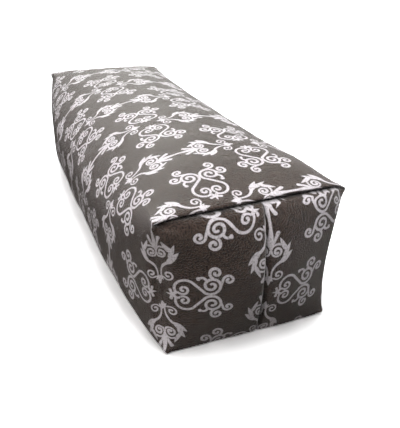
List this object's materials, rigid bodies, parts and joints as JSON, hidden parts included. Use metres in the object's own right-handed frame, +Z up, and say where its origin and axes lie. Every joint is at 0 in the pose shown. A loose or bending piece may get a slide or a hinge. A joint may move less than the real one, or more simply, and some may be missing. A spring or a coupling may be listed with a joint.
{
  "type": "mini bolster",
  "caption": "Filled mini bolster cushion with squared, boxed ends, swollen sides, a crowned top and a flat underside, in printed cotton.",
  "frame": {"origin": "on the surface the bolster rests on, under the middle of its box", "axes": "+Z up from the flat underside, +Y along the bolster's length, +X across it"},
  "size_m": [0.186, 0.4802, 0.132],
  "materials": {
    "printed_cotton": "matt printed cotton, taupe ground with an off-white scroll print"
  },
  "bodies": {
    "root": {"bolster": "printed_cotton"}
  },
  "joints": []
}
